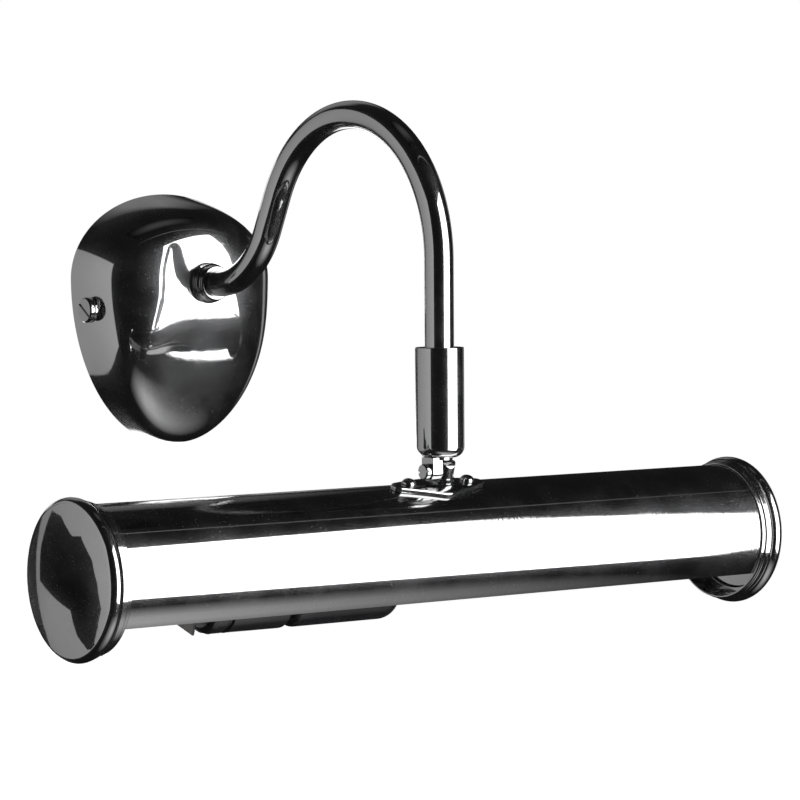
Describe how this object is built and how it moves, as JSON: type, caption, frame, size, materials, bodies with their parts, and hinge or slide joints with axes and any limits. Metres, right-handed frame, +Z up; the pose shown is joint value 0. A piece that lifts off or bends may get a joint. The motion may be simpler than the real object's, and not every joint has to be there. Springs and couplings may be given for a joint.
{
  "type": "picture light",
  "caption": "Wall-mounted picture light with a swan-neck arm, an egg-shaped wall canopy and a tilting tubular shade that is open along its underside.",
  "frame": {"origin": "on the wall, in the middle of the two wall screw holes of the bracket", "axes": "+X along the shade, +Y into the wall, +Z up; the light stands out from the wall towards -Y"},
  "size_m": [0.352, 0.2265, 0.2192],
  "materials": {
    "black_chrome": "mirror-polished black chrome",
    "zinc_steel": "bright zinc-plated steel",
    "brass": "turned brass",
    "nickel": "nickel-plated brass",
    "ivory_plastic": "moulded polyamide",
    "cable_sheath": "satin black cable sheath",
    "black_phenolic": "moulded black phenolic",
    "smoked_glass": "dark smoked glass",
    "filament": "drawn wire"
  },
  "bodies": {
    "root": {"wall_bracket": "zinc_steel", "canopy": "black_chrome", "canopy_screw": "black_chrome", "terminal_block": "ivory_plastic", "terminal_screws": "zinc_steel", "terminal_fixing_screw": "zinc_steel", "earth_screw": "brass", "earth_washer": "brass", "arm_tube": "black_chrome", "arm_collar": "black_chrome", "arm_washer": "zinc_steel", "arm_nut": "zinc_steel", "arm_cable": "cable_sheath", "arm_end_bush": "brass", "sleeve": "black_chrome", "yoke": "black_chrome"},
    "shade": {"pivot_screw": "black_chrome", "friction_washer": "zinc_steel", "foot": "black_chrome", "saddle_plate": "black_chrome", "flange_screws": "black_chrome", "flange_nuts": "zinc_steel", "shade_tube": "black_chrome", "end_cap_left": "black_chrome", "end_cap_right": "black_chrome", "lamp_bracket": "zinc_steel", "lampholder_base": "black_phenolic", "lampholder_shell": "black_phenolic", "lampholder_nut": "zinc_steel", "screw_shell": "brass", "centre_contact": "brass", "lamp_leads": "cable_sheath", "lamp_cap": "nickel", "lamp_glass": "smoked_glass", "lamp_filament": "filament"}
  },
  "joints": [
    {"name": "shade_tilt", "type": "hinge", "parent": "root", "child": "shade", "pos_m": [0, -0.205, -0.0635], "axis": [1, 0, 0], "range_deg": [-45, 40]}
  ]
}
